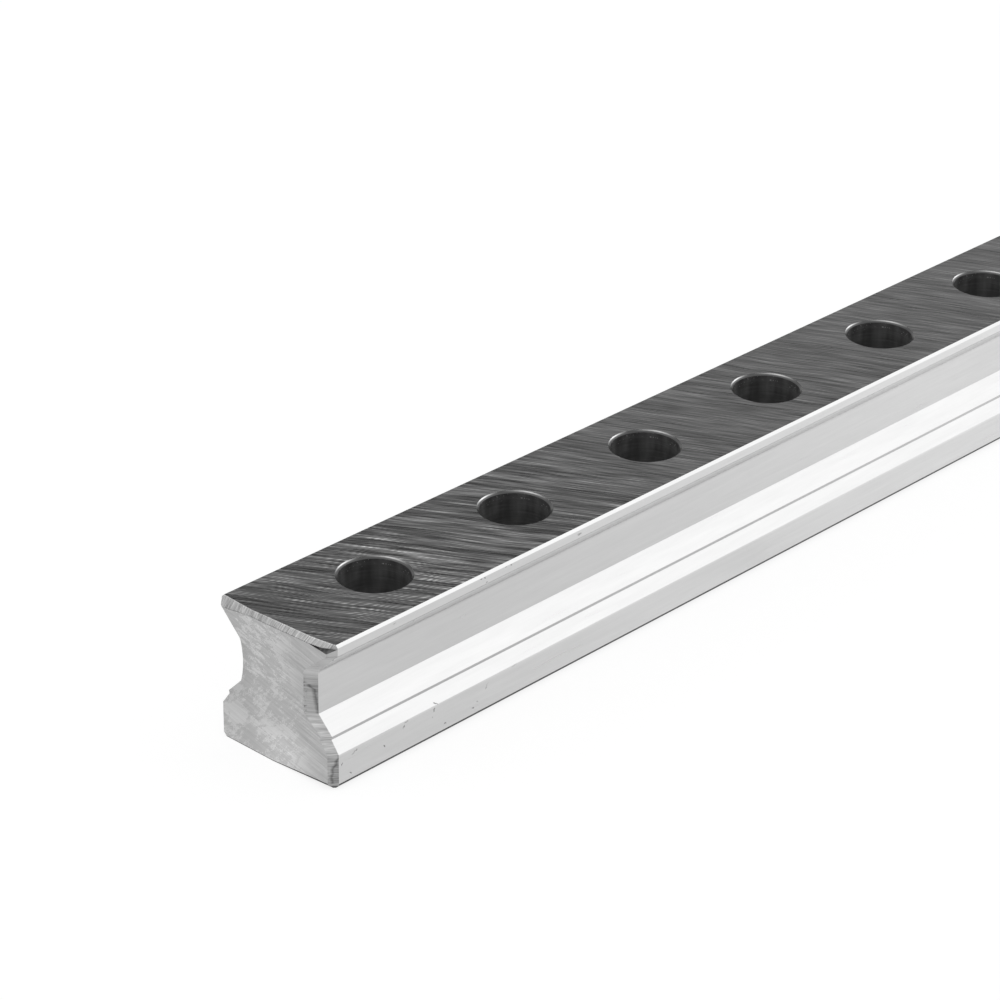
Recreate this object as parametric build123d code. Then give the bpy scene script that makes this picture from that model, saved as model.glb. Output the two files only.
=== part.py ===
from build123d import *
import math
import os

# Linear guide rail: one bar of bearing steel with four ground raceways and counterbored screw holes.
# The bar runs along X, its top face looks up, and the origin is at the middle of its bottom face.
# All sizes are in millimetres.

# Bar
rail_length = 220.0
rail_width = 23.0
rail_height = 23.6

# Head, from the top face down to the waist
top_chamfer = 0.4
head_side_height = 1.3
raceway_angle = 45.0
waist_width = 14.9
waist_fillet = 1.4

# Foot, from the bottom face up to the waist
foot_chamfer = 0.6
foot_side_height = 5.1
foot_bevel_height = 1.95
foot_bevel_width = 1.45
relief_step_height = 0.55
relief_step_draft = 0.1

# Ends, sawn square and then bevelled by hand on a grinder, looking at the end with the top face up
end_bevel_run = 1.25
right_bevel_depth = 1.05
right_waist_bevel_depth = 1.75
left_waist_hollow = 0.5
bottom_corner_run = 1.0
bottom_corner_rise = 0.9
bottom_corner_width = 12.5

# The top bevel of an end at five places across, each by its distance from the right side.
# It leaves a narrow ledge at the right, so each place also has the depth of the ledge at its back and front.
cutter_overrun = 0.5
cutter_reach = 1.0
top_bevel_place = (-cutter_overrun, 2.5, 4.7, 16.5, rail_width + cutter_overrun)
top_bevel_run = (1.45, 0.93, 0.62, 0.05, 0.45)
ledge_run = (1.4, 0.42, 0.02, 0.02, 0.02)
ledge_back_depth = (0.5, 0.9, 0.84, 1.2, 2.0)
ledge_front_depth = (1.43, 1.09, 0.86, 1.22, 2.02)

# Screw holes, drilled from the top face
hole_pitch = 30.0
first_hole_distance = 20.0
screw_hole_diameter = 7.0
counterbore_diameter = 11.0
counterbore_depth = 9.0
counterbore_rim_chamfer = 0.35
screw_hole_rim_chamfer = 0.3

# Lengths closer than this count as the same
same_length = 1e-6

# Heights and half-widths that follow from the sizes above
half_width = rail_width / 2
half_waist = waist_width / 2
head_side_bottom = rail_height - top_chamfer - head_side_height
foot_side_top = foot_chamfer + foot_side_height
relief_step_bottom = foot_side_top + foot_bevel_height
relief_step_top = relief_step_bottom + relief_step_height
half_width_at_step_bottom = half_width - foot_bevel_width
half_width_at_step_top = half_width_at_step_bottom + relief_step_draft
raceway_slope = math.tan(math.radians(raceway_angle))
upper_raceway_bottom = head_side_bottom - (half_width - half_waist) * raceway_slope
lower_raceway_top = relief_step_top + (half_width_at_step_top - half_waist) * raceway_slope


def bar_section(side_cut=0.0, waist_cut=0.0, hollow=0.0):
    """Return the bar's section, its top corners still sharp, in the YZ plane at the middle of the bar.

    The cuts set the right side and the right waist in, and the left waist is hollow by a shallow arc.
    """
    left_side = [
        (0, 0),
        (half_width - foot_chamfer, 0),
        (half_width, foot_chamfer),
        (half_width, foot_side_top),
        (half_width_at_step_bottom, relief_step_bottom),
        (half_width_at_step_top, relief_step_top),
        (half_waist, lower_raceway_top),
        (half_waist, upper_raceway_bottom),
        (half_width, head_side_bottom),
        (half_width, rail_height),
        (0, rail_height),
    ]
    right_side = []
    for across, up in reversed(left_side[1:-1]):
        cut = waist_cut if across == half_waist else side_cut
        right_side.append((cut - across, up))
    waist_bottom, waist_top = left_side[6:8]
    foot = Polyline(*left_side[:7])
    if hollow:
        middle = (half_waist - hollow, (lower_raceway_top + upper_raceway_bottom) / 2)
        left_waist = ThreePointArc(waist_bottom, middle, waist_top)
    else:
        left_waist = Line(waist_bottom, waist_top)
    rest = Polyline(*left_side[7:], *right_side, left_side[0])
    outline = make_face(Wire([*foot.edges(), left_waist, *rest.edges()]))
    waist_tops = outline.vertices().filter_by(
        lambda corner: abs(corner.Y - upper_raceway_bottom) < same_length
    )
    return Plane.YZ * fillet(waist_tops, waist_fillet)


def top_corner_waste(side):
    """Return the prism that the long chamfer takes off one top corner, side being 1 or -1."""
    reach = 2 * top_chamfer
    outline = Polyline(
        (side * (half_width - reach), rail_height + reach - top_chamfer),
        (side * (half_width + reach - top_chamfer), rail_height - reach),
        (side * (half_width + reach), rail_height + reach),
        close=True,
    )
    return extrude(Plane.YZ * make_face(outline), rail_length, both=True)


def top_bevel_waste():
    """Return what the grinder takes off the top of the near end, down to the ledge at the right."""
    stations = zip(top_bevel_place, top_bevel_run, ledge_run, ledge_back_depth, ledge_front_depth)
    sections = []
    for place, run, back_run, back_depth, front_depth in stations:
        corner = Vector(-rail_length / 2, place - half_width, rail_height)
        slope = (run - back_run) / back_depth
        outline = Polyline(
            corner + Vector(run + slope * cutter_reach, 0, cutter_reach),
            corner + Vector(back_run, 0, -back_depth),
            corner + Vector(0, 0, -front_depth),
            corner + Vector(-cutter_reach, 0, -front_depth),
            corner + Vector(-cutter_reach, 0, cutter_reach),
            close=True,
        )
        sections.append(make_face(outline))
    return loft(sections, ruled=True)


def bottom_corner_waste():
    """Return what the grinder takes off the right bottom corner of the near end."""
    corner = Vector(-rail_length / 2, -half_width, 0)
    inner = corner + Vector(0, bottom_corner_width, 0)
    upper = corner + Vector(0, 0, bottom_corner_rise)
    back = corner + Vector(bottom_corner_run, 0, 0)
    cut = Plane(origin=inner, x_dir=upper - inner, z_dir=(back - inner).cross(upper - inner))
    size = 4 * bottom_corner_width
    return cut * Box(size, size, size, align=(Align.CENTER, Align.CENTER, Align.MIN))


def near_half():
    """Return the half of the bar that has the near end, that end ground."""
    plain_length = rail_length / 2 - end_bevel_run
    plain = extrude(bar_section(), -plain_length)
    full_section = Pos(-plain_length, 0, 0) * bar_section()
    end_section = Pos(-rail_length / 2, 0, 0) * bar_section(
        right_bevel_depth, right_waist_bevel_depth, left_waist_hollow
    )
    bevelled = loft([full_section, end_section], ruled=True)
    return plain + bevelled - [top_bevel_waste(), bottom_corner_waste()]


def bar():
    """Return the plain bar, centred along X, both ends ground alike and its top corners chamfered."""
    half = near_half()
    whole = half + Rot(0, 0, 180) * half
    return whole - [top_corner_waste(1), top_corner_waste(-1)]


def screw_hole():
    """Return the solid that a stepped drill removes at one hole, its axis on Z."""
    half_profile = [
        (0, 0),
        (screw_hole_diameter / 2 + screw_hole_rim_chamfer, 0),
        (screw_hole_diameter / 2, screw_hole_rim_chamfer),
        (screw_hole_diameter / 2, rail_height - counterbore_depth),
        (counterbore_diameter / 2, rail_height - counterbore_depth),
        (counterbore_diameter / 2, rail_height - counterbore_rim_chamfer),
        (counterbore_diameter / 2 + counterbore_rim_chamfer, rail_height),
        (0, rail_height),
    ]
    face = make_face(Polyline(*half_profile, close=True))
    return revolve(Plane.XZ * face, Axis.Z)


def hole_positions():
    """Return the X of each screw hole, as many as the bar takes at this pitch."""
    first = -rail_length / 2 + first_hole_distance
    pitches = int((rail_length - 2 * first_hole_distance + same_length) / hole_pitch)
    return [first + index * hole_pitch for index in range(pitches + 1)]


def guide_rail():
    """Return the finished rail."""
    holes = [Pos(along, 0, 0) * screw_hole() for along in hole_positions()]
    return bar() - holes


os.makedirs("parts", exist_ok=True)
export_step(guide_rail(), "parts/guide_rail.step")
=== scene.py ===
import logging
import math
from dataclasses import dataclass
from enum import Enum

import bpy
from mathutils import Matrix, Vector


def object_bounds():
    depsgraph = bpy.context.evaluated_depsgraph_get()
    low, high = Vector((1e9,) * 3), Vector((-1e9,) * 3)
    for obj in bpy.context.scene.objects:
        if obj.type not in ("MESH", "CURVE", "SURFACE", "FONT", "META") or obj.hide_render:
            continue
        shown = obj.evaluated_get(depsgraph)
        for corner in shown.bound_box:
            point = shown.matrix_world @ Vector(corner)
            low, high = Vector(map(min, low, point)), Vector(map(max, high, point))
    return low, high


LOG = logging.getLogger("guide_rail")
FLOAT = "NodeSocketFloat"
VECTOR = "NodeSocketVector"

# One millimetre in metres
MM = 0.001

# In millimetres, the margin that keeps a mask off the points of the neighbouring face
SKIN = 0.001

# A number, or the socket that gives one for each point of the surface
Value = float | bpy.types.NodeSocket

# The corners of a line: each one's place and the line's value there, in rising order of place
Corners = tuple[tuple[float, float], ...]

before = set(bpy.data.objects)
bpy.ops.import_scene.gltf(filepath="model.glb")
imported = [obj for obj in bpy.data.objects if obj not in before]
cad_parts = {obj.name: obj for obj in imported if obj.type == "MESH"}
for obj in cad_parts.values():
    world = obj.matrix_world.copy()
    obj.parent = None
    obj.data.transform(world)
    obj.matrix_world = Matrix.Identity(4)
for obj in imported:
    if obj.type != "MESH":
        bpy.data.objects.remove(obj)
CAD_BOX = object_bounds()


class Edge(Enum):
    """The two long edges of a sawn end, as the sign of their place across it."""

    RIGHT = -1
    LEFT = 1


class Pattern(Enum):
    """The noise patterns of the steel, each at its own depth in the noise so that no two match."""

    HAIR = 0.0
    BEND = 2.0
    RAGGED = 5.0
    FINE = 6.5
    PATCHES = 11.0
    MIDDLE = 13.0
    BROAD = 19.5
    CHATTER = 31.0
    RIDGE = 47.0
    BEVEL_SPECKS = 53.0
    CLUMPS = 63.0
    MOTTLE = 81.0
    HOLE_SPECKS = 86.0
    MARKS = 95.0


class Wiring:
    """Adds nodes to one node tree and joins them up.

    A value handed to a method may be a socket, which is linked, or a number, which is set on the
    node's own socket.
    """

    def __init__(self, tree: bpy.types.NodeTree) -> None:
        """Keep the tree.

        Args:
            tree: the node tree that the nodes go into.
        """
        self.tree = tree

    def node(self, kind: str, **settings: object) -> bpy.types.Node:
        """Add one node.

        Args:
            kind: the node's type name, such as ShaderNodeMath.
            **settings: properties to set on the node.

        Returns:
            The new node.
        """
        made = self.tree.nodes.new(kind)
        for name, value in settings.items():
            setattr(made, name, value)
        return made

    def feed(self, socket: bpy.types.NodeSocket, source: Value | tuple[float, ...]) -> None:
        """Link a socket to another one, or set its value.

        Args:
            socket: the input.
            source: an output socket, a number or a tuple.
        """
        if isinstance(source, bpy.types.NodeSocket):
            self.tree.links.new(source, socket)
        else:
            socket.default_value = source

    def math(self, operation: str, *values: Value) -> bpy.types.NodeSocket:
        """Add one Math node.

        Args:
            operation: the operation's name, such as MULTIPLY.
            *values: its inputs, in order.

        Returns:
            The result.
        """
        made = self.node("ShaderNodeMath", operation=operation)
        for socket, value in zip(made.inputs, values):
            self.feed(socket, value)
        return made.outputs[0]

    def add(self, *values: Value) -> bpy.types.NodeSocket:
        """Return the sum of some values.

        Args:
            *values: two or more values.

        Returns:
            Their sum.
        """
        total = values[0]
        for value in values[1:]:
            total = self.math("ADD", total, value)
        return total

    def times(self, *values: Value) -> bpy.types.NodeSocket:
        """Return the product of some values, or of some masks, which is 1 where every mask is 1.

        Args:
            *values: two or more values.

        Returns:
            Their product.
        """
        product = values[0]
        for value in values[1:]:
            product = self.math("MULTIPLY", product, value)
        return product

    def turned(self, first: Value, second: Value,
               degrees: float) -> tuple[bpy.types.NodeSocket, bpy.types.NodeSocket]:
        """Turn a pair of coordinates.

        Args:
            first: the first coordinate.
            second: the second one.
            degrees: the direction, seen from the first axis, that becomes the new first axis.

        Returns:
            The place along that direction, and the place square to it.
        """
        cosine = math.cos(math.radians(degrees))
        sine = math.sin(math.radians(degrees))
        along = self.add(self.times(first, cosine), self.times(second, sine))
        across = self.add(self.times(second, cosine), self.times(first, -sine))
        return along, across

    def above(self, value: Value, limit: Value) -> bpy.types.NodeSocket:
        """Return 1 where a value is over a limit, and 0 elsewhere."""
        return self.math("GREATER_THAN", value, limit)

    def below(self, value: Value, limit: Value) -> bpy.types.NodeSocket:
        """Return 1 where a value is under a limit, and 0 elsewhere."""
        return self.math("LESS_THAN", value, limit)

    def ramp(self, value: Value, low: float, high: float, start: Value = 0.0,
             end: float = 1.0) -> bpy.types.NodeSocket:
        """Map a value from one range to another, eased and held at its ends.

        Args:
            value: the value.
            low: where the first range starts.
            high: where the first range ends.
            start: the result at low.
            end: the result at high.

        Returns:
            The mapped value.
        """
        made = self.node("ShaderNodeMapRange", interpolation_type="SMOOTHSTEP")
        for socket, given in zip(made.inputs, (value, low, high, start, end)):
            self.feed(socket, given)
        return made.outputs["Result"]

    def hump(self, value: Value, middle: Value, half_width: float) -> bpy.types.NodeSocket:
        """Return 1 where a value is at a middle, falling to 0 at a distance from it.

        Args:
            value: the value.
            middle: where the hump is highest.
            half_width: the distance at which it ends.

        Returns:
            The hump.
        """
        distance = self.math("ABSOLUTE", self.math("SUBTRACT", value, middle))
        return self.ramp(distance, 0.0, half_width, 1.0, 0.0)

    def mix(self, mask: Value, first: Value, second: Value) -> bpy.types.NodeSocket:
        """Mix two values.

        Args:
            mask: 0 for the first, 1 for the second.
            first: the value where the mask is 0.
            second: the value where the mask is 1.

        Returns:
            The mixed value.
        """
        made = self.node("ShaderNodeMix", data_type="FLOAT")
        for name, value in (("Factor", mask), ("A", first), ("B", second)):
            self.feed(made.inputs[name], value)
        return made.outputs["Result"]

    def vector(self, first: Value, second: Value, third: Value) -> bpy.types.NodeSocket:
        """Join three values into a vector.

        Args:
            first: the first value.
            second: the second value.
            third: the third value.

        Returns:
            The vector.
        """
        made = self.node("ShaderNodeCombineXYZ")
        for socket, value in zip(made.inputs, (first, second, third)):
            self.feed(socket, value)
        return made.outputs[0]

    def noise(self, first: Value, second: Value, pattern: Pattern,
              detail: float = 0.0) -> bpy.types.NodeSocket:
        """Add one noise texture over two coordinates.

        Args:
            first: the first coordinate, in steps of the noise.
            second: the second one.
            pattern: which noise it is.
            detail: the number of finer layers.

        Returns:
            The noise, around 0 and mostly between -1 and 1.
        """
        noise_middle = 0.5
        noise_reach = 0.12
        made = self.node("ShaderNodeTexNoise", noise_dimensions="3D")
        self.feed(made.inputs["Vector"], self.vector(first, second, pattern.value))
        self.feed(made.inputs["Scale"], 1.0)
        self.feed(made.inputs["Detail"], detail)
        centred = self.math("SUBTRACT", made.outputs["Fac"], noise_middle)
        return self.times(centred, 1 / noise_reach)

    def spread(self, first: Value, second: Value, steps: tuple[float, float], pattern: Pattern,
               detail: float = 0.0) -> bpy.types.NodeSocket:
        """Add one noise texture over two coordinates, stretched each way by its steps.

        Args:
            first: the first coordinate.
            second: the second one.
            steps: how many steps of the noise each coordinate's unit holds.
            pattern: which noise it is.
            detail: the number of finer layers.

        Returns:
            The noise, around 0 and mostly between -1 and 1.
        """
        first_steps, second_steps = steps
        return self.noise(self.times(first, first_steps), self.times(second, second_steps),
                          pattern, detail)

    def group(self, tree: bpy.types.NodeTree,
              **inputs: Value | tuple[float, ...]) -> bpy.types.Node:
        """Place a node group.

        Args:
            tree: the group's tree.
            **inputs: its inputs by name, with underscores for spaces.

        Returns:
            The group node.
        """
        made = self.node("ShaderNodeGroup", node_tree=tree)
        for name, value in inputs.items():
            self.feed(made.inputs[name.replace("_", " ")], value)
        return made


class GroupMaker:
    """Starts one shader node group and keeps its inputs and outputs."""

    def __init__(self, name: str, inputs: dict[str, str], outputs: dict[str, str]) -> None:
        """Make the group's tree with its sockets.

        Args:
            name: the group's name.
            inputs: the name and type of each input.
            outputs: the name and type of each output.
        """
        self.tree = bpy.data.node_groups.new(name, "ShaderNodeTree")
        for direction, sockets in (("INPUT", inputs), ("OUTPUT", outputs)):
            for socket, kind in sockets.items():
                self.tree.interface.new_socket(name=socket, in_out=direction, socket_type=kind)
        self.wiring = Wiring(self.tree)
        self.inputs = self.wiring.node("NodeGroupInput").outputs
        self.outputs = self.wiring.node("NodeGroupOutput").inputs

    def give(self, **results: bpy.types.NodeSocket) -> bpy.types.NodeTree:
        """Join the results to the group's outputs.

        Args:
            **results: each output by name, with underscores for spaces.

        Returns:
            The group's tree.
        """
        for name, result in results.items():
            self.wiring.feed(self.outputs[name.replace("_", " ")], result)
        return self.tree


@dataclass(frozen=True)
class RailSizes:
    """The rail's own sizes in millimetres, as the CAD model has them.

    Heights are measured from the bottom face, and places across an end from its middle, left
    being positive.
    """

    length: float = 220.0
    height: float = 23.6
    first_hole: float = 20.0
    hole_pitch: float = 30.0
    rim_radius: float = 5.85
    rim_bottom: float = 23.25
    foot_chamfer_top: float = 0.6
    foot_side_top: float = 5.7
    foot_bevel_top: float = 7.65
    relief_step_top: float = 8.2
    lower_raceway_top: float = 10.9
    fillet_bottom: float = 17.27
    fillet_top: float = 18.26
    head_side_bottom: float = 21.9
    head_side_top: float = 23.2
    end_bevel_run: float = 1.25
    end_reach: float = 1.6
    top_bevel_edge: Corners = ((-12.0, 23.1), (-9.0, 22.7), (5.0, 22.4), (12.0, 21.6))
    ledge_top: float = 23.2
    ledge_bottom: float = 21.8


def coordinates_group(sizes: RailSizes) -> bpy.types.NodeTree:
    """Build the group that says where on the rail a point is, in millimetres.

    Args:
        sizes: the rail's sizes.

    Returns:
        The group's tree. Each end is the other one turned half round, and so is its End Across.
    """
    names = ("Along", "Across", "Height", "From End", "End Across", "Hole Radius", "Hole Angle")
    made = GroupMaker("Rail coordinates", {}, {name: FLOAT for name in names})
    wiring = made.wiring
    scaled = wiring.node("ShaderNodeVectorMath", operation="SCALE")
    wiring.feed(scaled.inputs[0], wiring.node("ShaderNodeTexCoord").outputs["Object"])
    wiring.feed(scaled.inputs["Scale"], 1 / MM)
    parts = wiring.node("ShaderNodeSeparateXYZ")
    wiring.feed(parts.inputs[0], scaled.outputs[0])
    centred, across, height = parts.outputs
    along = wiring.add(centred, sizes.length / 2)
    from_end = wiring.math("SUBTRACT", sizes.length / 2, wiring.math("ABSOLUTE", centred))
    end_across = wiring.times(across, wiring.math("SIGN", centred), -1.0)
    before_hole = wiring.add(along, sizes.hole_pitch / 2 - sizes.first_hole)
    past_hole = wiring.math("FLOORED_MODULO", before_hole, sizes.hole_pitch)
    from_hole = wiring.add(past_hole, -sizes.hole_pitch / 2)
    squares = wiring.add(wiring.times(from_hole, from_hole), wiring.times(across, across))
    radius = wiring.math("SQRT", squares)
    angle = wiring.math("ARCTAN2", across, from_hole)
    return made.give(Along=along, Across=across, Height=height, From_End=from_end,
                     End_Across=end_across, Hole_Radius=radius, Hole_Angle=angle)


def scratches_group() -> bpy.types.NodeTree:
    """Build the group that draws long scratches of four widths.

    Returns:
        The group's tree. Across and Along are in millimetres, and each width has its own strength.
    """
    widths = {
        "Hair": ((4.6, 0.22), Pattern.HAIR),
        "Fine": ((1.9, 0.11), Pattern.FINE),
        "Middle": ((0.8, 0.05), Pattern.MIDDLE),
        "Broad": ((0.3, 0.022), Pattern.BROAD),
    }
    inputs = {name: FLOAT for name in ("Across", "Along", *widths)}
    made = GroupMaker("Grinding scratches", inputs, {"Scratches": FLOAT})
    wiring = made.wiring
    total: Value = 0.0
    for name, (steps, pattern) in widths.items():
        layer = wiring.spread(made.inputs["Across"], made.inputs["Along"], steps, pattern)
        total = wiring.add(total, wiring.times(layer, made.inputs[name]))
    return made.give(Scratches=total)


def patches_group() -> bpy.types.NodeTree:
    """Build the group that draws crisp, ragged patches longer one way than the other.

    Returns:
        The group's tree. Long Way and Short Way are in steps of the patches, and Cover is about 0.
    """
    ragged_steps = (3.1, 3.1)
    ragged_long, ragged_short = 0.24, -0.20
    finer_layers = 3.0
    soft_edge = 0.22
    names = ("Long Way", "Short Way", "Cover")
    made = GroupMaker("Smeared patches", {name: FLOAT for name in names}, {"Mask": FLOAT})
    wiring = made.wiring
    long_way, short_way = made.inputs["Long Way"], made.inputs["Short Way"]
    ragged = wiring.spread(long_way, short_way, ragged_steps, Pattern.RAGGED)
    patches = wiring.noise(wiring.add(long_way, wiring.times(ragged, ragged_long)),
                           wiring.add(short_way, wiring.times(ragged, ragged_short)),
                           Pattern.PATCHES, finer_layers)
    return made.give(Mask=wiring.ramp(wiring.add(patches, made.inputs["Cover"]), 0.0, soft_edge))


def mark_group() -> bpy.types.NodeTree:
    """Build the group that masks one small slanted mark.

    Returns:
        The group's tree, with the mark's place, its half-sizes in millimetres, its slant and its
        strength as inputs.
    """
    full_strength_reach = 0.4
    inputs = {"Place": VECTOR, "Middle": VECTOR, "Half Sizes": VECTOR, "Slant": VECTOR,
              "Strength": FLOAT}
    made = GroupMaker("Small mark", inputs, {"Mask": FLOAT})
    wiring = made.wiring
    own = wiring.node("ShaderNodeMapping", vector_type="TEXTURE")
    wiring.feed(own.inputs["Vector"], made.inputs["Place"])
    wiring.feed(own.inputs["Location"], made.inputs["Middle"])
    wiring.feed(own.inputs["Rotation"], made.inputs["Slant"])
    wiring.feed(own.inputs["Scale"], made.inputs["Half Sizes"])
    distance = wiring.node("ShaderNodeVectorMath", operation="LENGTH")
    wiring.feed(distance.inputs[0], own.outputs[0])
    mask = wiring.ramp(distance.outputs["Value"], full_strength_reach, 1.0,
                       made.inputs["Strength"], 0.0)
    return made.give(Mask=mask)


class Surface:
    """What every finish works with: the wiring, the place on the rail and the surface's facing."""

    def __init__(self, wiring: Wiring, sizes: RailSizes) -> None:
        """Read the place and the facing of the surface.

        Args:
            wiring: the wiring of the material.
            sizes: the rail's sizes.
        """
        self.wiring = wiring
        self.sizes = sizes
        places = wiring.group(coordinates_group(sizes)).outputs
        self.along = places["Along"]
        self.across = places["Across"]
        self.height = places["Height"]
        self.from_end = places["From End"]
        self.end_across = places["End Across"]
        self.rightward = wiring.times(places["End Across"], Edge.RIGHT.value)
        self.hole_radius = places["Hole Radius"]
        self.hole_angle = places["Hole Angle"]
        normal = wiring.node("ShaderNodeSeparateXYZ")
        wiring.feed(normal.inputs[0], wiring.node("ShaderNodeNewGeometry").outputs["True Normal"])
        self.faces_along = wiring.math("ABSOLUTE", normal.outputs["X"])
        self.faces_up = normal.outputs["Z"]
        self.near_end = wiring.below(self.from_end, sizes.end_reach)

    def on_edge(self, place: Value, edge: Edge) -> bpy.types.NodeSocket:
        """Return 1 on one side of the middle, by the place across, and 0 on the other."""
        return self.wiring.above(self.wiring.times(place, edge.value), 0.0)

    def between(self, value: Value, low: float, high: float) -> bpy.types.NodeSocket:
        """Return 1 where a value is between two limits, and 0 elsewhere."""
        return self.wiring.times(self.wiring.above(value, low), self.wiring.below(value, high))

    def path(self, value: Value, corners: Corners) -> bpy.types.NodeSocket:
        """Follow an eased line through a few corners, held at its ends.

        Args:
            value: where to read the line.
            corners: each corner's place and the line's value there, in rising order of place.

        Returns:
            The line's value.
        """
        (start, start_value), (stop, stop_value) = corners[:2]
        result = self.wiring.ramp(value, start, stop, start_value, stop_value)
        for (start, start_value), (stop, stop_value) in zip(corners[1:], corners[2:]):
            rise = self.wiring.ramp(value, start, stop, 0.0, stop_value - start_value)
            result = self.wiring.add(result, rise)
        return result


@dataclass(frozen=True)
class Strengths:
    """How strong each width of scratch is, in greys."""

    hair: float = 1.0
    fine: float = 1.0
    middle: float = 0.5
    broad: float = 0.0


@dataclass(frozen=True)
class Grain:
    """How the scratches of one finish lie: the places across and along them, and their gain."""

    across: Value
    along: Value
    gain: Value = 1.0


@dataclass(frozen=True)
class Finish:
    """One finish of the bar, with its tones, its roughness and its scratches.

    A tone is the grey, from 0 to 255, that the finish shows under plain white light. The relief is
    how deep its scratches are, in millimetres for each grey.
    """

    roughness: float = 0.4
    metallic: float = 1.0
    strengths: Strengths = Strengths()
    relief: float = 0.0

    def mask(self, surface: Surface) -> Value:
        """Return 1 where the finish lies, which is everywhere unless it has its own faces."""
        return 1.0

    def grain(self, surface: Surface) -> Grain:
        """Return how the scratches lie, which is lengthwise unless the finish has its own way."""
        return Grain(surface.height, surface.along)

    def shade(self, surface: Surface) -> Value:
        """Return the tone of the finish without its scratches.

        Args:
            surface: the rail's surface.

        Returns:
            The tone.
        """
        raise NotImplementedError


@dataclass(frozen=True)
class Band:
    """The plain tone of one band of the rail's side, from its bottom height up."""

    bottom: float
    tone: float


@dataclass(frozen=True)
class GroundSides(Finish):
    """The long sides: smooth ground bands with a faint lengthwise grain."""

    roughness: float = 0.28
    strengths: Strengths = Strengths(0.5, 0.8, 0.5, 0.0)
    relief: float = 0.0008
    foot_chamfer: float = 90.0
    # Painted shade: a dark band along the foot side's bottom edge, for the contact shadow at the
    # floor
    foot_contact_shade: float = 72.0
    foot_side: float = 199.0
    foot_side_edge: float = 10.0
    foot_side_edge_reach: float = 0.55
    raceway: float = 226.0
    relief_step: float = 186.0
    waist: float = 197.0
    fillet: float = 197.0
    underside_bottom: float = 219.0
    underside_middle: float = 225.0
    underside_top: float = 237.0
    head_lower_edge: float = 186.0
    head_side: float = 205.0
    underside_edges: tuple[float, float] = (18.75, 20.1)
    edge_line: float = 0.5
    contact_shade_line: float = 0.24
    gain_along: Corners = ((10.0, 1.0), (90.0, 1.055), (150.0, 1.085))

    def shade(self, surface: Surface) -> Value:
        """Lay the tones of the bands from the bottom up, lighter towards the far end.

        Args:
            surface: the rail's surface.

        Returns:
            The tone.
        """
        wiring = surface.wiring
        sizes = surface.sizes
        middle_start, top_start = self.underside_edges
        bands = (
            # Painted contact shadow on the foot side, just above the chamfer
            Band(sizes.foot_chamfer_top, self.foot_contact_shade),
            Band(sizes.foot_chamfer_top + self.contact_shade_line, self.foot_side),
            Band(sizes.foot_side_top, self.raceway),
            Band(sizes.foot_bevel_top, self.relief_step),
            Band(sizes.relief_step_top, self.raceway),
            Band(sizes.lower_raceway_top, self.waist),
            Band(sizes.fillet_bottom, self.fillet),
            Band(sizes.fillet_top, self.underside_bottom),
            Band(middle_start, self.underside_middle),
            Band(top_start, self.underside_top),
            Band(sizes.head_side_bottom - self.edge_line, self.head_lower_edge),
            Band(sizes.head_side_bottom, self.head_side),
            Band(sizes.head_side_top, self.raceway),
        )
        tone: Value = self.foot_chamfer
        for band in bands:
            tone = wiring.mix(wiring.above(surface.height, band.bottom), tone, band.tone)
        by_edge = wiring.hump(surface.height, sizes.foot_side_top, self.foot_side_edge_reach)
        under_edge = wiring.times(by_edge, wiring.below(surface.height, sizes.foot_side_top))
        tone = wiring.add(tone, wiring.times(under_edge, self.foot_side_edge))
        lighter = wiring.times(tone, surface.path(surface.along, self.gain_along))
        return wiring.math("MINIMUM", lighter, wiring.math("MAXIMUM", tone, self.raceway))


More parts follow.
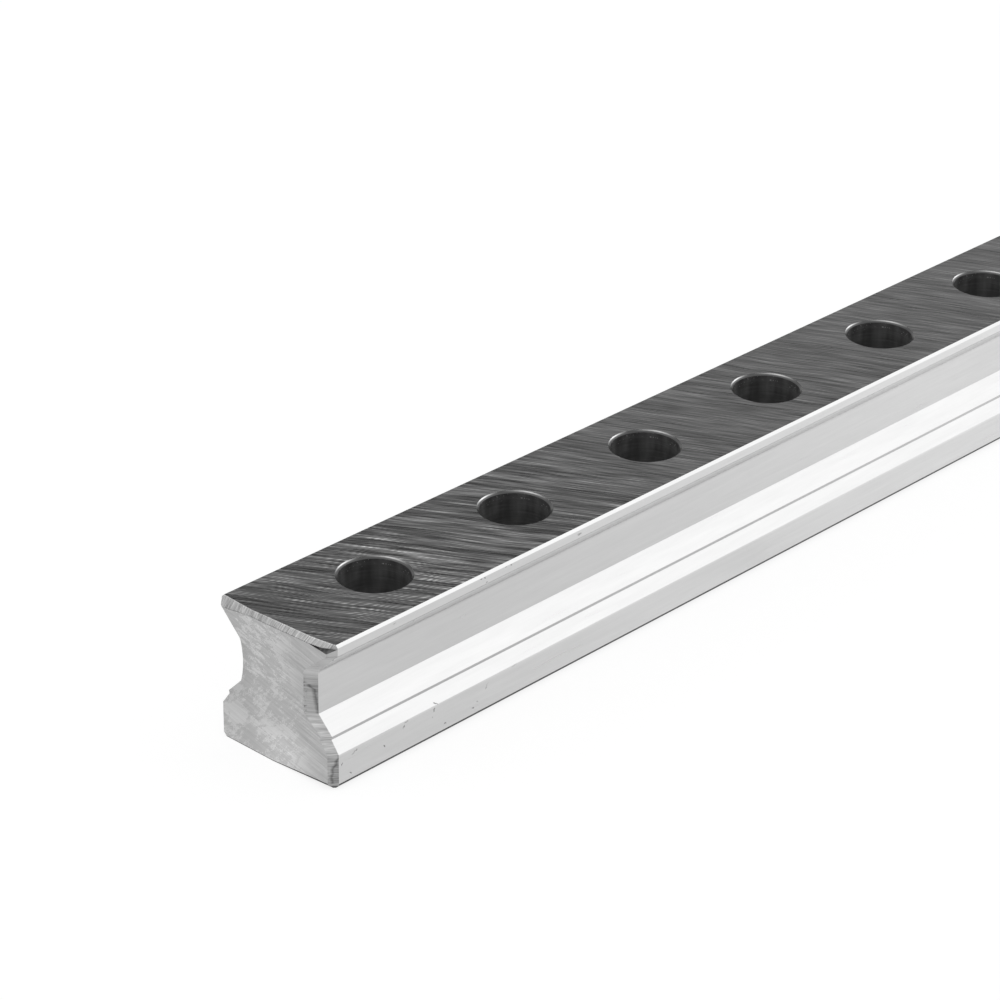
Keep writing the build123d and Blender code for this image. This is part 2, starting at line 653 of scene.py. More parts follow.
@dataclass(frozen=True)
class GroundTop(Finish):
    """The top face: coarse slanting scratches, beaded by chatter marks near the first hole.

    Places are in millimetres from the near end and from the middle of the face, and steps are for
    each millimetre.
    """

    roughness: float = 0.36
    strengths: Strengths = Strengths(18.0, 13.0, 9.0, 6.0)
    relief: float = 0.0003
    # Painted reflection: the dark plain tone stands in for the dark surroundings that the level
    # face mirrors
    tone: float = 80.0
    faces_up: float = 0.95
    slant: Corners = ((30.0, 0.60), (90.0, 0.48))
    bend: float = 0.16
    bend_steps: tuple[float, float] = (0.05, 0.07)
    gain_along: Corners = ((20.0, 1.0), (28.0, 1.55), (36.0, 1.1), (90.0, 0.6))
    bright_band: float = 27.5
    bright_band_slant: float = 0.6
    bright_band_width: float = 4.5
    bright_band_gain: float = 22.0
    chatter_steps: tuple[float, float] = (0.40, 1.28)
    chatter: float = 6.0
    chatter_cover: Corners = ((-0.4, 0.35), (0.8, 0.8))
    chatter_drift: float = 0.25
    chatter_drift_steps: tuple[float, float] = (0.22, 0.22)
    chatter_patch: tuple[float, float] = (17.0, -9.0)
    chatter_patch_reach: tuple[float, float] = (8.0, 6.0)
    chatter_along: Corners = ((24.0, 1.0), (34.0, 0.35))
    beading: float = 0.75

    def mask(self, surface: Surface) -> Value:
        """Return 1 on the faces that look up."""
        return surface.wiring.times(surface.wiring.above(surface.faces_up, self.faces_up),
                                    surface.wiring.above(surface.height, surface.sizes.rim_bottom))

    def across_scratches(self, surface: Surface) -> bpy.types.NodeSocket:
        """Bend and slant the scratches a little.

        Args:
            surface: the rail's surface.

        Returns:
            The place across the scratches, in millimetres along the bar.
        """
        wiring = surface.wiring
        bend = wiring.spread(surface.along, surface.across, self.bend_steps, Pattern.BEND)
        slant = surface.path(surface.along, self.slant)
        return wiring.add(surface.along, wiring.times(surface.across, slant),
                          wiring.times(bend, self.bend))

    def chatter_marks(self, surface: Surface) -> bpy.types.NodeSocket:
        """Draw the short ripples that the grinder leaves across its scratches, where there are any.

        Args:
            surface: the rail's surface.

        Returns:
            The ripples, between -1 and 1.
        """
        wiring = surface.wiring
        along, across = surface.along, surface.across
        steps_along, steps_across = self.chatter_steps
        patch_along, patch_across = self.chatter_patch
        reach_along, reach_across = self.chatter_patch_reach
        drift = wiring.spread(along, across, self.chatter_drift_steps, Pattern.CHATTER)
        turns = wiring.add(wiring.times(along, steps_along), wiring.times(across, steps_across),
                           wiring.times(drift, self.chatter_drift))
        ripples = wiring.math("SINE", wiring.times(turns, math.tau))
        patch = wiring.times(wiring.hump(along, patch_along, reach_along),
                             wiring.hump(across, patch_across, reach_across))
        cover = wiring.math("MAXIMUM", surface.path(drift, self.chatter_cover), patch)
        return wiring.times(ripples, cover, surface.path(along, self.chatter_along))

    def grain(self, surface: Surface) -> Grain:
        """Lay coarse scratches, strongest behind the first hole.

        Args:
            surface: the rail's surface.

        Returns:
            How the scratches lie.
        """
        wiring = surface.wiring
        beads = wiring.add(1.0, wiring.times(self.chatter_marks(surface), self.beading))
        gain = wiring.times(beads, surface.path(surface.along, self.gain_along))
        return Grain(self.across_scratches(surface), surface.across, gain)

    def shade(self, surface: Surface) -> Value:
        """Add the brighter band behind the first hole and the chatter marks to the plain tone.

        Args:
            surface: the rail's surface.

        Returns:
            The tone.
        """
        wiring = surface.wiring
        slanting = wiring.add(surface.along, wiring.times(surface.across, self.bright_band_slant))
        band = wiring.hump(slanting, self.bright_band, self.bright_band_width)
        # The plain tone is a painted reflection of the dark surroundings
        return wiring.add(self.tone, wiring.times(band, self.bright_band_gain),
                          wiring.times(self.chatter_marks(surface), self.chatter))


@dataclass(frozen=True)
class GroundBottom(Finish):
    """The bottom face: ground flat, with straight fine scratches along the bar."""

    roughness: float = 0.35
    strengths: Strengths = Strengths(4.0, 5.0, 5.0, 4.0)
    relief: float = 0.0003
    tone: float = 185.0
    top: float = 0.5
    faces_up: float = -0.9

    def mask(self, surface: Surface) -> Value:
        """Return 1 on the faces that look down at the floor."""
        return surface.wiring.times(surface.wiring.below(surface.faces_up, self.faces_up),
                                    surface.wiring.below(surface.height, self.top))

    def grain(self, surface: Surface) -> Grain:
        """Return how the scratches lie, which is along the bar."""
        return Grain(surface.across, surface.along)

    def shade(self, surface: Surface) -> Value:
        """Return the plain tone."""
        return self.tone


@dataclass(frozen=True)
class SawnEnd(Finish):
    """The sawn end faces: fine slanting scratches under brighter patches, darker at the left.

    Places across are towards the right edge, and steps are how many patches or scratches lie in a
    millimetre.
    """

    roughness: float = 0.45
    strengths: Strengths = Strengths(2.4, 2.8, 1.4, 1.0)
    relief: float = 0.0012
    tone: float = 176.0
    faces_along: float = 0.97
    scratch_slant: float = -14.0
    scratch_steps: tuple[float, float] = (2.4, 1.5)
    scratch_gain: Corners = ((-2.0, 0.7), (4.0, 1.2))
    upper_patch_bottom: float = 13.2
    upper_patch_steps: tuple[float, float] = (0.95, 1.7)
    upper_patches: Corners = ((-1.0, 21.0), (6.0, 3.0))
    lower_patch_slant: float = 66.0
    lower_patch_steps: tuple[float, float] = (0.95, 1.5)
    lower_patches: Corners = ((2.0, 17.0), (8.0, 3.0))
    patch_cover: Corners = ((9.0, 0.1), (12.5, -0.6), (14.0, 0.15), (20.0, 0.0))
    clump_steps: tuple[float, float] = (0.28, 0.28)
    clumps: float = 0.5
    left_shade_height: Corners = ((4.0, 0.0), (8.0, 1.0), (17.0, 1.0), (22.0, 0.0))
    left_shade: Corners = ((-8.5, -10.0), (-3.5, 0.0))
    foot_light: float = 19.0
    foot_light_height: Corners = ((3.5, 1.0), (8.0, 0.0))
    foot_light_middle: float = 2.0
    foot_light_reach: float = 9.0
    # Painted shade: a dark line along the bottom edge, where the end meets the floor
    bottom_line: Corners = ((-2.0, 0.12), (8.0, 0.17))
    bottom_shade_tone: Corners = ((-6.0, 105.0), (6.0, 70.0))
    corner_start: float = 1.0
    corner_rise: float = 0.072

    def mask(self, surface: Surface) -> Value:
        """Return 1 on the end faces."""
        on_end = surface.wiring.above(surface.faces_along, self.faces_along)
        return surface.wiring.times(on_end, surface.near_end)

    def grain(self, surface: Surface) -> Grain:
        """Lay fine short scratches that fall towards the right.

        Args:
            surface: the rail's surface.

        Returns:
            How the scratches lie.
        """
        wiring = surface.wiring
        along, across = wiring.turned(surface.rightward, surface.height, self.scratch_slant)
        finer, shorter = self.scratch_steps
        gain = surface.path(surface.rightward, self.scratch_gain)
        return Grain(wiring.times(across, finer), wiring.times(along, shorter), gain)

    def patches(self, surface: Surface) -> bpy.types.NodeSocket:
        """Draw the smeared patches, level above the waist's middle and steep below it.

        Args:
            surface: the rail's surface.

        Returns:
            How much the patches brighten the tone.
        """
        wiring = surface.wiring
        across, height = surface.rightward, surface.height
        upper_long, upper_short = self.upper_patch_steps
        lower_long, lower_short = self.lower_patch_steps
        upper = wiring.above(height, self.upper_patch_bottom)
        steep, square = wiring.turned(across, height, self.lower_patch_slant)
        long_way = wiring.mix(upper, wiring.times(steep, lower_long),
                              wiring.times(across, upper_long))
        short_way = wiring.mix(upper, wiring.times(square, lower_short),
                               wiring.times(height, upper_short))
        clumps = wiring.spread(across, height, self.clump_steps, Pattern.CLUMPS)
        cover = wiring.add(surface.path(height, self.patch_cover),
                           wiring.times(clumps, self.clumps))
        drawn = wiring.group(patches_group(), Long_Way=long_way, Short_Way=short_way, Cover=cover)
        strength = wiring.mix(upper, surface.path(across, self.lower_patches),
                              surface.path(across, self.upper_patches))
        return wiring.times(drawn.outputs["Mask"], strength)

    def shade(self, surface: Surface) -> Value:
        """Lay the patches, the lighter foot, the darker left side and the bottom line of painted
        shade.

        Args:
            surface: the rail's surface.

        Returns:
            The tone.
        """
        wiring = surface.wiring
        across, height = surface.rightward, surface.height
        foot = wiring.times(surface.path(height, self.foot_light_height),
                            wiring.hump(across, self.foot_light_middle, self.foot_light_reach))
        left = wiring.times(surface.path(height, self.left_shade_height),
                            surface.path(across, self.left_shade))
        tone = wiring.add(self.tone, self.patches(surface), wiring.times(foot, self.foot_light),
                          left)
        # Painted shade along the bottom edge, thicker past the right corner
        past_start = wiring.add(across, self.corner_start)
        corner = wiring.math("MAXIMUM", wiring.times(past_start, self.corner_rise), 0.0)
        line_top = wiring.add(corner, surface.path(across, self.bottom_line))
        return wiring.mix(wiring.below(height, line_top), tone,
                          surface.path(across, self.bottom_shade_tone))


@dataclass(frozen=True)
class SideBevel(Finish):
    """The bevels at the long edges of an end: level striations, and a ragged ridge on the right.

    Outward goes from 0 at the bevel's inner edge to 1 at its outer one.
    """

    roughness: float = 0.45
    strengths: Strengths = Strengths(7.0, 9.0, 2.0, 2.0)
    relief: float = 0.0008
    tones: Corners = ((5.5, 168.0), (6.5, 186.0), (10.0, 186.0), (11.5, 171.0), (16.5, 163.0),
                      (18.3, 203.0), (21.4, 201.0), (21.9, 176.0))
    faces_along: tuple[float, float] = (0.12, 0.97)
    striation_steps: tuple[float, float] = (3.0, 3.5)
    striations_up: Corners = ((6.0, 1.0), (10.0, 0.9), (11.5, 0.55), (15.0, 0.5), (18.0, 0.3))
    wobble_steps: float = 1.2
    wobble_detail: float = 2.0
    inner_edge: float = -6.0
    inner_edge_reach: float = 0.2
    inner_edge_breaks: tuple[float, float] = (-0.6, 0.6)
    speck: float = -40.0
    speck_steps: tuple[float, float] = (2.6, 5.0)
    speck_share: Corners = ((0.5, 0.0), (1.1, 1.0))
    speck_heights: Corners = ((10.5, 0.0), (11.5, 1.0), (15.5, 1.0), (17.0, 0.0))
    speck_reach: float = 0.3
    ridge_edge: Edge = Edge.RIGHT
    ridge_tone: float = -36.0
    ridge_width: float = 0.24
    ridge_wobble: float = -0.05
    beyond_ridge: float = -19.0
    waist_ridge: Corners = ((10.9, 1.0), (12.2, 0.87), (14.7, 0.70), (15.7, 0.35))
    foot_ridge: Corners = ((1.0, 0.34), (3.4, 0.40), (4.3, 0.75), (5.7, 1.0))
    # Painted shade: the down-facing corner facet of the foot is painted dark, for its shadow by the
    # floor
    foot_corner_top: float = 1.0
    foot_corner_faces_up: float = -0.3
    foot_corner_shade_tone: float = 74.0

    def mask(self, surface: Surface) -> Value:
        """Return 1 on the bevels."""
        on_bevel = surface.between(surface.faces_along, *self.faces_along)
        return surface.wiring.times(on_bevel, surface.near_end)

    def grain(self, surface: Surface) -> Grain:
        """Lay level striations, faint under the head.

        Args:
            surface: the rail's surface.

        Returns:
            How the striations lie.
        """
        wiring = surface.wiring
        finer, shorter = self.striation_steps
        gain = surface.path(surface.height, self.striations_up)
        return Grain(wiring.times(surface.height, finer), wiring.times(surface.from_end, shorter),
                     gain)

    def outward(self, surface: Surface, wobble: Value) -> bpy.types.NodeSocket:
        """Return how far out on the bevel a point is, made ragged."""
        out = surface.wiring.times(surface.from_end, 1 / surface.sizes.end_bevel_run)
        return surface.wiring.add(out, surface.wiring.times(wobble, self.ridge_wobble))

    def ridge(self, surface: Surface, outward: Value) -> bpy.types.NodeSocket:
        """Draw the dark ridge and the darker strip beyond it.

        Args:
            surface: the rail's surface.
            outward: how far out on the bevel a point is.

        Returns:
            How much the ridge changes the tone.
        """
        wiring = surface.wiring
        total: Value = 0.0
        for corners in (self.waist_ridge, self.foot_ridge):
            place = surface.path(surface.height, corners)
            reach = surface.between(surface.height, corners[0][0], corners[-1][0])
            line = wiring.times(wiring.hump(outward, place, self.ridge_width), self.ridge_tone)
            strip = wiring.times(wiring.above(outward, place), self.beyond_ridge)
            total = wiring.add(total, wiring.times(reach, wiring.add(line, strip)))
        return wiring.times(total, surface.on_edge(surface.end_across, self.ridge_edge))

    def shade(self, surface: Surface) -> Value:
        """Lay the dotted inner edge, the specks, the ridge and the painted shade on the foot's
        corner.

        Args:
            surface: the rail's surface.

        Returns:
            The tone.
        """
        wiring = surface.wiring
        height = surface.height
        wobble = wiring.noise(wiring.times(height, self.wobble_steps), 0.0, Pattern.RIDGE,
                              self.wobble_detail)
        outward = self.outward(surface, wobble)
        inner = wiring.times(wiring.hump(outward, 0.0, self.inner_edge_reach),
                             wiring.ramp(wobble, *self.inner_edge_breaks))
        specks = wiring.spread(height, surface.from_end, self.speck_steps, Pattern.BEVEL_SPECKS)
        specks = wiring.times(surface.path(specks, self.speck_share),
                              wiring.hump(outward, 0.0, self.speck_reach),
                              surface.path(height, self.speck_heights))
        tone = wiring.add(surface.path(height, self.tones), self.ridge(surface, outward),
                          wiring.times(inner, self.inner_edge), wiring.times(specks, self.speck))
        # Painted shade on the foot's down-facing corner facet
        corner = wiring.times(wiring.below(height, self.foot_corner_top),
                              wiring.below(surface.faces_up, self.foot_corner_faces_up))
        return wiring.mix(corner, tone, self.foot_corner_shade_tone)


@dataclass(frozen=True)
class TopBevel(Finish):
    """The bevel under the top face of an end: short steep striations from the grinder."""

    roughness: float = 0.42
    strengths: Strengths = Strengths(8.0, 11.0, 1.0, 0.5)
    relief: float = 0.0008
    tone: float = 172.0
    faces_along: float = 0.12
    faces_up: float = 0.9
    slant: float = 66.0
    striation_steps: tuple[float, float] = (3.1, 3.0)
    # Painted highlight: the bright upper edge stands in for the light a rounded edge would catch
    upper_edge_highlight: float = 24.0
    lower_edge: float = -16.0
    edge_width: float = 0.22

    def mask(self, surface: Surface) -> Value:
        """Mark the bevel, above its lower edge.

        Args:
            surface: the rail's surface.

        Returns:
            1 on the bevel.
        """
        wiring = surface.wiring
        over = wiring.above(surface.height, self.lower_edge_height(surface))
        return wiring.times(over, surface.near_end,
                            wiring.above(surface.faces_along, self.faces_along),
                            wiring.below(surface.faces_up, self.faces_up))

    def lower_edge_height(self, surface: Surface) -> Value:
        """Return the height of the bevel's lower edge."""
        return surface.path(surface.end_across, surface.sizes.top_bevel_edge)

    def grain(self, surface: Surface) -> Grain:
        """Lay short steep striations.

        Args:
            surface: the rail's surface.

        Returns:
            How the striations lie.
        """
        wiring = surface.wiring
        along, across = wiring.turned(surface.rightward, surface.height, self.slant)
        finer, shorter = self.striation_steps
        return Grain(wiring.times(across, finer), wiring.times(along, shorter))

    def shade(self, surface: Surface) -> Value:
        """Lay the painted highlight on the upper edge and the darker lower edge on the plain tone.

        Args:
            surface: the rail's surface.

        Returns:
            The tone.
        """
        wiring = surface.wiring
        height = surface.height
        # Painted highlight along the upper edge
        top = wiring.ramp(height, surface.sizes.height - self.edge_width, surface.sizes.height)
        over = wiring.math("SUBTRACT", height, self.lower_edge_height(surface))
        return wiring.add(self.tone, wiring.times(top, self.upper_edge_highlight),
                          wiring.ramp(over, 0.0, self.edge_width, self.lower_edge, 0.0))


@dataclass(frozen=True)
class EndLedge(Finish):
    """The narrow dark ledge that the grinder leaves under the right part of the top bevel."""

    roughness: float = 0.5
    strengths: Strengths = Strengths(4.0, 8.0, 8.0, 0.0)
    faces_up: float = 0.7
    # Painted reflection: the dark tones stand in for the dark surroundings that the near-level face
    # mirrors
    tones: Corners = ((-11.0, 98.0), (-8.5, 58.0))
    blotch_steps: float = 9.0

    def mask(self, surface: Surface) -> Value:
        """Mark the ledge.

        Args:
            surface: the rail's surface.

        Returns:
            1 on the ledge.
        """
        level = surface.wiring.above(surface.faces_up, self.faces_up)
        return surface.wiring.times(level, surface.near_end,
                                    surface.between(surface.height, surface.sizes.ledge_bottom,
                                                    surface.sizes.ledge_top))

    def grain(self, surface: Surface) -> Grain:
        """Return how the soft blotches lie."""
        return Grain(surface.end_across, surface.wiring.times(surface.from_end, self.blotch_steps))

    def shade(self, surface: Surface) -> Value:
        """Return the painted reflection's tone, lighter towards the right edge."""
        return surface.path(surface.end_across, self.tones)


@dataclass(frozen=True)
class ScrewHoles(Finish):
    """Inside the screw holes: dark scale, faintly mottled, with a few specks under the rim."""

    roughness: float = 0.6
    metallic: float = 0.2
    strengths: Strengths = Strengths(2.5, 2.0, 1.0, 0.0)
    relief: float = 0.001
    tones: Corners = ((17.5, 112.0), (21.0, 92.0), (23.0, 82.0))
    mottle: float = 11.0
    mottle_steps: tuple[float, float] = (0.5, 0.12)
    mottle_detail: float = 2.0
    speck: float = 70.0
    speck_steps: tuple[float, float] = (2.6, 2.6)
    speck_share: Corners = ((1.8, 0.0), (2.2, 1.0))
    speck_depth: float = 1.2
    faces_up: float = -0.6

    def mask(self, surface: Surface) -> Value:
        """Mark the inside of the holes.

        Args:
            surface: the rail's surface.

        Returns:
            1 inside the holes.
        """
        wiring = surface.wiring
        not_bottom = wiring.math("MAXIMUM", wiring.above(surface.faces_up, self.faces_up),
                                 wiring.above(surface.height, SKIN))
        return wiring.times(wiring.below(surface.hole_radius, surface.sizes.rim_radius + SKIN),
                            wiring.below(surface.height, surface.sizes.height - SKIN), not_bottom)

    def around(self, surface: Surface) -> Value:
        """Return the distance round the hole, in millimetres."""
        return surface.wiring.times(surface.hole_angle, surface.sizes.rim_radius)

    def grain(self, surface: Surface) -> Grain:
        """Return how the faint turning rings lie."""
        return Grain(surface.height, self.around(surface))

    def shade(self, surface: Surface) -> Value:
        """Lay the mottling and the specks on the plain tone.

        Args:
            surface: the rail's surface.

        Returns:
            The tone.
        """
        wiring = surface.wiring
        height = surface.height
        around = self.around(surface)
        mottle = wiring.spread(around, height, self.mottle_steps, Pattern.MOTTLE,
                               self.mottle_detail)
        specks = wiring.spread(around, height, self.speck_steps, Pattern.HOLE_SPECKS)
        specks = wiring.times(surface.path(specks, self.speck_share),
                              wiring.above(height, surface.sizes.rim_bottom - self.speck_depth))
        return wiring.add(surface.path(height, self.tones), wiring.times(mottle, self.mottle),
                          wiring.times(specks, self.speck))


@dataclass(frozen=True)
class Glint:
    """A painted highlight arc of a rim: middle and half-width in degrees, and gain in greys."""

    middle: float
    half_width: float
    gain: float


@dataclass(frozen=True)
class HoleRims(Finish):
    """The small chamfer round each counterbore, with painted highlights on its outer part."""

    roughness: float = 0.28
    tone: float = 78.0
    outer_part: Corners = ((5.62, 0.1), (5.76, 1.0))
    # Painted highlights: bright arcs painted into the rim's tone where light would glint
    glints: tuple[Glint, ...] = (Glint(102.0, 36.0, 165.0), Glint(22.0, 46.0, 108.0))

    def mask(self, surface: Surface) -> Value:
        """Mark the rims.

        Args:
            surface: the rail's surface.

        Returns:
            1 on the rims.
        """
        sizes = surface.sizes
        by_hole = surface.wiring.below(surface.hole_radius, sizes.rim_radius + SKIN)
        on_slope = surface.between(surface.height, sizes.rim_bottom + SKIN, sizes.height - SKIN)
        return surface.wiring.times(by_hole, on_slope)

    def shade(self, surface: Surface) -> Value:
        """Lay the painted highlights, bright arcs, on the plain tone.

        Args:
            surface: the rail's surface.

        Returns:
            The tone.
        """
        wiring = surface.wiring
        bright: Value = 0.0
        for glint in self.glints:
            arc = wiring.hump(surface.hole_angle, math.radians(glint.middle),
                              math.radians(glint.half_width))
            bright = wiring.add(bright, wiring.times(arc, glint.gain))
        outer = surface.path(surface.hole_radius, self.outer_part)
        return wiring.add(self.tone, wiring.times(bright, outer))


@dataclass(frozen=True)
class Mark:
    """A small dark mark on the right side.

    It has its middle and its half-sizes in millimetres, its slant in degrees and its strength.
    """

    along: float
    height: float
    half_length: float
    half_width: float
    slant: float
    strength: float


@dataclass(frozen=True)
class HandlingMarks(Finish):
    """The nicks and specks on the right side of the rail, towards the end that is seen."""

    roughness: float = 0.6
    tone: float = 62.0
    side: Edge = Edge.RIGHT
    ragged_steps: tuple[float, float] = (3.5, 3.5)
    ragged: tuple[float, float] = (0.05, -0.04)
    marks: tuple[Mark, ...] = (
        Mark(1.9, 3.9, 0.34, 0.13, 60, 0.85),
        Mark(4.5, 4.95, 0.95, 0.10, 24, 0.35),
        Mark(4.4, 4.9, 0.25, 0.12, 30, 0.4),
        Mark(3.65, 1.75, 0.32, 0.11, -48, 0.6),
        Mark(10.5, 3.25, 0.42, 0.12, -58, 0.7),
        Mark(14.5, 4.8, 0.42, 0.13, 70, 0.6),
        Mark(15.0, 5.45, 0.55, 0.09, 4, 0.5),
        Mark(20.8, 5.0, 0.42, 0.15, 75, 0.75),
        Mark(21.2, 5.9, 0.5, 0.10, -25, 0.6),
        Mark(20.5, 3.85, 0.2, 0.12, -40, 0.3),
        Mark(23.1, 1.8, 0.36, 0.13, -6, 0.6),
        Mark(29.1, 1.9, 0.34, 0.13, -12, 0.55),
        Mark(30.0, 2.6, 0.2, 0.13, 0, 0.25),
        Mark(32.0, 4.5, 0.75, 0.14, 62, 0.28),
        Mark(37.9, 5.55, 0.7, 0.12, 5, 0.3),
        Mark(12.6, 22.75, 0.34, 0.08, 8, 0.4),
        Mark(30.6, 23.05, 0.26, 0.10, -10, 0.7),
        Mark(31.4, 22.95, 0.24, 0.10, -35, 0.7),
        Mark(31.75, 22.15, 0.26, 0.10, 0, 0.7),
        Mark(35.9, 23.05, 0.22, 0.10, 0, 0.55),
        Mark(37.0, 23.0, 0.22, 0.11, 0, 0.6),
        Mark(52.0, 22.55, 0.55, 0.16, 10, 0.35),
        Mark(17.6, 20.8, 0.4, 0.12, -62, 0.6),
        Mark(1.4, 20.8, 0.35, 0.11, -62, 0.6),
    )

    def mask(self, surface: Surface) -> Value:
        """Return the marks' own shapes.

        Args:
            surface: the rail's surface.

        Returns:
            How strong the marks are at each point.
        """
        wiring = surface.wiring
        tree = mark_group()
        wobble = wiring.spread(surface.along, surface.height, self.ragged_steps, Pattern.MARKS)
        wobble_along, wobble_up = self.ragged
        place = wiring.vector(wiring.add(surface.along, wiring.times(wobble, wobble_along)),
                              wiring.add(surface.height, wiring.times(wobble, wobble_up)), 0.0)
        total: Value = 0.0
        for mark in self.marks:
            shape = wiring.group(tree, Place=place, Middle=(mark.along, mark.height, 0.0),
                                 Half_Sizes=(mark.half_length, mark.half_width, 1.0),
                                 Slant=(0.0, 0.0, math.radians(mark.slant)),
                                 Strength=mark.strength)
            total = wiring.math("MAXIMUM", total, shape.outputs["Mask"])
        return wiring.times(total, surface.on_edge(surface.across, self.side))

    def shade(self, surface: Surface) -> Value:
        """Return the plain dark tone."""
        return self.tone


@dataclass(frozen=True)
class GroundSteel:
    """The rail's one material: every finish of the bar, each laid on its own faces.

    The marks come last and have no scratches of their own.
    """

    sizes: RailSizes = RailSizes()
    finishes: tuple[Finish, ...] = (
        GroundSides(),
        GroundTop(),
        GroundBottom(),
        SawnEnd(),
        SideBevel(),
        TopBevel(),
        EndLedge(),
        ScrewHoles(),
        HoleRims(),
        HandlingMarks(),
    )
    scratch_roughness: float = 0.002
    screen_gamma: float = 2.2
    screen_white: float = 255.0

    def blended(self, wiring: Wiring, masks: list[Value], values: list[Value]) -> Value:
        """Lay each finish's value over the ones before it.

        Args:
            wiring: the wiring of the material.
            masks: where each finish lies.
            values: what each finish has there.

        Returns:
            The value that shows.
        """
        shown = values[0]
        for mask, value in zip(masks[1:], values[1:]):
            shown = wiring.mix(mask, shown, value)
        return shown

    def scratches(self, surface: Surface, masks: list[Value]) -> tuple[Value, Value]:
        """Draw the scratches once, each finish having its own direction and strengths.

        Args:
            surface: the rail's surface.
            masks: where each finish lies.

        Returns:
            The scratches in greys, and their relief in millimetres.
        """
        wiring = surface.wiring
        finishes = self.finishes[:-1]
        grains = [finish.grain(surface) for finish in finishes]
        widths = [finish.strengths for finish in finishes]
        lists = {
            "Across": [grain.across for grain in grains],
            "Along": [grain.along for grain in grains],
            "Hair": [width.hair for width in widths],
            "Fine": [width.fine for width in widths],
            "Middle": [width.middle for width in widths],
            "Broad": [width.broad for width in widths],
            "Gain": [grain.gain for grain in grains],
            "Relief": [finish.relief for finish in finishes],
        }
        blend = {name: self.blended(wiring, masks[:-1], values) for name, values in lists.items()}
        gain, relief = blend.pop("Gain"), blend.pop("Relief")
        drawn = wiring.group(scratches_group(), **blend).outputs["Scratches"]
        return wiring.times(drawn, gain), wiring.times(drawn, relief)

    def build(self) -> bpy.types.Material:
        """Build the material.

        Returns:
            The material.
        """
        made = bpy.data.materials.new("ground_steel")
        made.use_nodes = True
        made.node_tree.nodes.clear()
        wiring = Wiring(made.node_tree)
        surface = Surface(wiring, self.sizes)
        masks = [finish.mask(surface) for finish in self.finishes]
        scratches, relief = self.scratches(surface, masks)
        shades = [finish.shade(surface) for finish in self.finishes]
        tone = wiring.add(self.blended(wiring, masks, shades), scratches)
        share = wiring.math("MAXIMUM", wiring.times(tone, 1 / self.screen_white), 0.0)
        roughness = self.blended(wiring, masks, [finish.roughness for finish in self.finishes])
        roughness = wiring.add(roughness, wiring.times(scratches, self.scratch_roughness))
        bump = wiring.node("ShaderNodeBump")
        wiring.feed(bump.inputs["Height"], relief)
        wiring.feed(bump.inputs["Distance"], MM)
        shader = wiring.node("ShaderNodeBsdfPrincipled")
        wiring.feed(shader.inputs["Base Color"], wiring.math("POWER", share, self.screen_gamma))
        wiring.feed(shader.inputs["Metallic"],
                    self.blended(wiring, masks, [finish.metallic for finish in self.finishes]))
        wiring.feed(shader.inputs["Roughness"], roughness)
        wiring.feed(shader.inputs["Normal"], bump.outputs["Normal"])
        output = wiring.node("ShaderNodeOutputMaterial")
        wiring.feed(output.inputs["Surface"], shader.outputs["BSDF"])
        return made


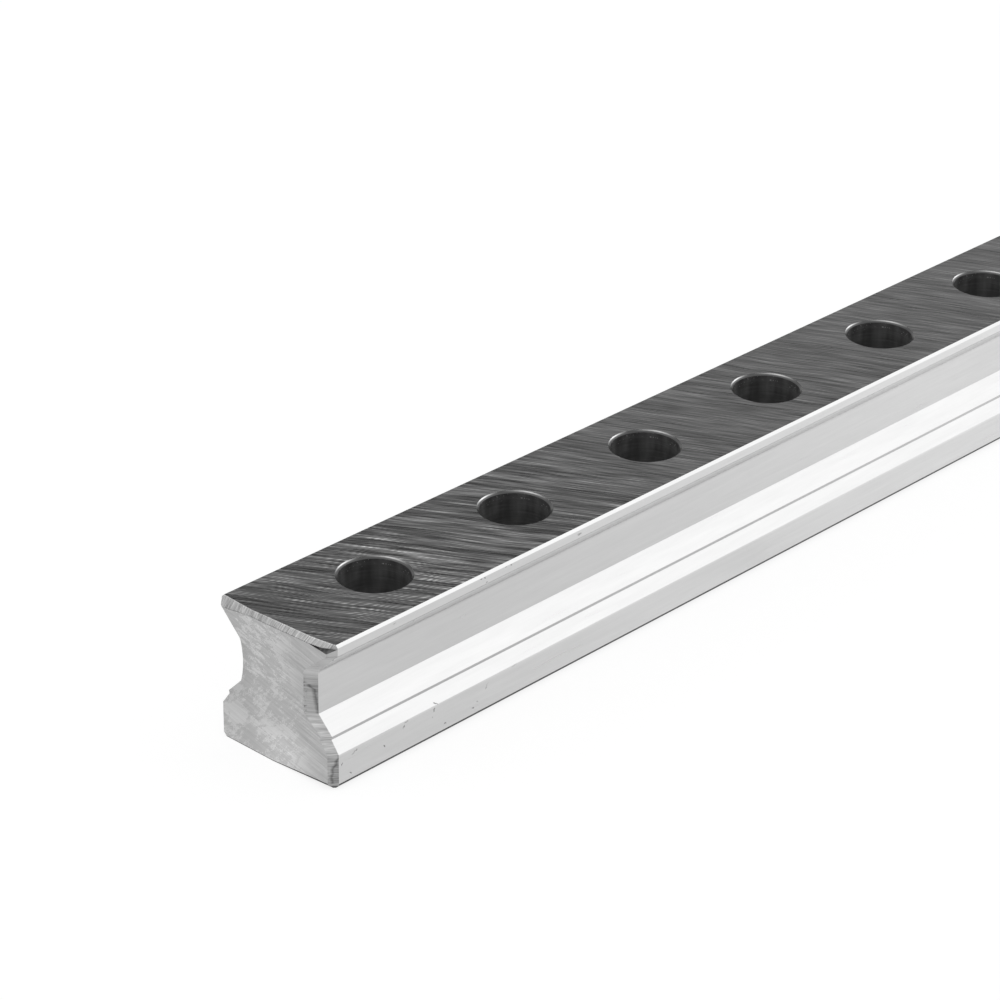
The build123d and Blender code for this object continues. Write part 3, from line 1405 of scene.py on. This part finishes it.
@dataclass
class Studio:
    """The white surroundings: a pale floor, a white world and soft lamps.

    The floor is as wide as its size in metres. Under the holes it has no glow, a painted shade,
    for as many millimetres along and across from the rail's middle.
    """

    floor_size: float = 6.0
    floor_tone: float = 0.3
    floor_glow: float = 0.825
    # Painted shade: no glow in this strip under the rail
    painted_shade_under_rail: tuple[float, float] = (100.0, 6.0)
    world_for_diffuse: float = 0.55
    lamp_strength: float = 0.2
    lamp_angle: float = 60.0
    lamp_direction: tuple[float, float, float] = (0.639, -0.464, 0.614)

    def floor(self) -> bpy.types.Object:
        """Lay the floor under the rail.

        Returns:
            The floor.
        """
        half = self.floor_size / 2
        level = CAD_BOX[0][2]
        corners = [(-half, -half, level), (half, -half, level),
                   (half, half, level), (-half, half, level)]
        mesh = bpy.data.meshes.new("floor")
        mesh.from_pydata(corners, [], [(0, 1, 2, 3)])
        laid = bpy.data.objects.new("floor", mesh)
        bpy.context.scene.collection.objects.link(laid)
        mesh.materials.append(self.floor_material())
        return laid

    def seen(self, wiring: Wiring) -> bpy.types.NodeSocket:
        """Tell the rays that see a thing, straight or mirrored, from those that only light it.

        Args:
            wiring: the wiring of the material or the world.

        Returns:
            1 for the rays that see, and 0 for the rest.
        """
        rays = wiring.node("ShaderNodeLightPath").outputs
        seen = wiring.math("MAXIMUM", rays["Is Camera Ray"], rays["Is Glossy Ray"])
        return wiring.math("MAXIMUM", seen, rays["Is Transmission Ray"])

    def open_floor(self, wiring: Wiring) -> bpy.types.NodeSocket:
        """Mark the open floor, leaving out the painted shade strip seen through the rail's holes.

        Args:
            wiring: the wiring of the floor's material.

        Returns:
            1 on the open floor, and 0 on the strip.
        """
        place = wiring.node("ShaderNodeSeparateXYZ")
        wiring.feed(place.inputs[0], wiring.node("ShaderNodeNewGeometry").outputs["Position"])
        # Painted shade: the glow is left out under the rail
        covered = [wiring.below(wiring.math("ABSOLUTE", place.outputs[axis]), reach * MM)
                   for axis, reach in enumerate(self.painted_shade_under_rail)]
        return wiring.math("SUBTRACT", 1.0, wiring.times(*covered))

    def floor_material(self) -> bpy.types.Material:
        """Make a matt floor that is seen as white where no shadow falls.

        Returns:
            The material.
        """
        made = bpy.data.materials.new("floor_white")
        made.use_nodes = True
        made.node_tree.nodes.clear()
        wiring = Wiring(made.node_tree)
        matt = wiring.node("ShaderNodeBsdfDiffuse")
        wiring.feed(matt.inputs["Color"], (self.floor_tone, self.floor_tone, self.floor_tone, 1.0))
        glow = wiring.node("ShaderNodeEmission")
        strength = wiring.times(self.seen(wiring), self.open_floor(wiring), self.floor_glow)
        wiring.feed(glow.inputs["Strength"], strength)
        both = wiring.node("ShaderNodeAddShader")
        wiring.feed(both.inputs[0], matt.outputs[0])
        wiring.feed(both.inputs[1], glow.outputs[0])
        output = wiring.node("ShaderNodeOutputMaterial")
        wiring.feed(output.inputs["Surface"], both.outputs[0])
        return made

    def world(self) -> bpy.types.World:
        """Make the world white where it is seen or mirrored, and softer as a light on matt faces.

        Returns:
            The world.
        """
        made = bpy.data.worlds.new("white_studio")
        made.use_nodes = True
        made.node_tree.nodes.clear()
        wiring = Wiring(made.node_tree)
        background = wiring.node("ShaderNodeBackground")
        wiring.feed(background.inputs["Color"], (1.0, 1.0, 1.0, 1.0))
        strength = wiring.mix(self.seen(wiring), self.world_for_diffuse, 1.0)
        wiring.feed(background.inputs["Strength"], strength)
        output = wiring.node("ShaderNodeOutputWorld")
        wiring.feed(output.inputs["Surface"], background.outputs[0])
        bpy.context.scene.world = made
        return made

    def lamp(self, name: str, direction: Vector) -> bpy.types.Object:
        """Hang one soft lamp far away.

        Args:
            name: the lamp's name.
            direction: where it is, seen from the rail.

        Returns:
            The lamp.
        """
        light = bpy.data.lights.new(name, "SUN")
        light.energy = self.lamp_strength
        light.angle = math.radians(self.lamp_angle)
        made = bpy.data.objects.new(name, light)
        bpy.context.scene.collection.objects.link(made)
        made.rotation_euler = direction.to_track_quat("Z", "Y").to_euler()
        return made

    def build(self) -> None:
        """Build the floor, the world and a lamp for each side of the rail."""
        self.floor()
        self.world()
        right = Vector(self.lamp_direction)
        self.lamp("right_lamp", right)
        self.lamp("left_lamp", Vector((-right.x, -right.y, right.z)))


@dataclass(frozen=True)
class Camera:
    """The photograph's camera: a long lens that looks down on the near end from the right.

    Angles are in degrees and lengths in millimetres. The azimuth is counted from the rail's axis,
    and the camera sees what lies within its range of distances in metres.
    """

    azimuth: float = 42.991
    elevation: float = 27.077
    distance: float = 527.44
    roll: float = -0.795
    target: tuple[float, float, float] = (-63.318, 0.0, 26.087)
    focal_length: float = 125.834
    sensor_width: float = 36.0
    range_seen: tuple[float, float] = (0.01, 100.0)

    def build(self) -> bpy.types.Object:
        """Place the camera and make it the scene's own.

        Returns:
            The camera.
        """
        azimuth = math.radians(self.azimuth)
        elevation = math.radians(self.elevation)
        roll = math.radians(self.roll)
        back = Vector((-math.cos(elevation) * math.cos(azimuth),
                       -math.cos(elevation) * math.sin(azimuth),
                       math.sin(elevation)))
        level = (-back).cross(Vector((0, 0, 1))).normalized()
        down = (-back).cross(level)
        right = math.cos(roll) * level + math.sin(roll) * down
        up = math.sin(roll) * level - math.cos(roll) * down
        eye = (Vector(self.target) + self.distance * back) * MM
        lens = bpy.data.cameras.new("photo_camera")
        lens.sensor_width = self.sensor_width
        lens.lens = self.focal_length
        lens.clip_start, lens.clip_end = self.range_seen
        made = bpy.data.objects.new("photo_camera", lens)
        turn = Matrix((right, up, back)).transposed().to_4x4()
        made.matrix_world = Matrix.Translation(eye) @ turn
        bpy.context.scene.collection.objects.link(made)
        bpy.context.scene.camera = made
        return made


@dataclass
class GuideRail:
    """The rail itself: the CAD bar with its steel."""

    node: str = "guide_rail"
    sizes: RailSizes = RailSizes()

    def build(self) -> bpy.types.Object:
        """Dress the bar.

        Returns:
            The bar.
        """
        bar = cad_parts[self.node]
        steel = GroundSteel(self.sizes).build()
        if not bar.material_slots:
            bar.data.materials.append(steel)
        for slot in bar.material_slots:
            slot.material = steel
        return bar


def main() -> None:
    """Build the scene."""
    logging.basicConfig(level=logging.INFO, format="%(name)s: %(message)s")
    bpy.context.scene.view_settings.view_transform = "Standard"
    Studio().build()
    Camera().build()
    bar = GuideRail().build()
    LOG.info("%s: %d faces, one steel of many finishes", bar.name, len(bar.data.polygons))


if __name__ == "__main__":
    main()
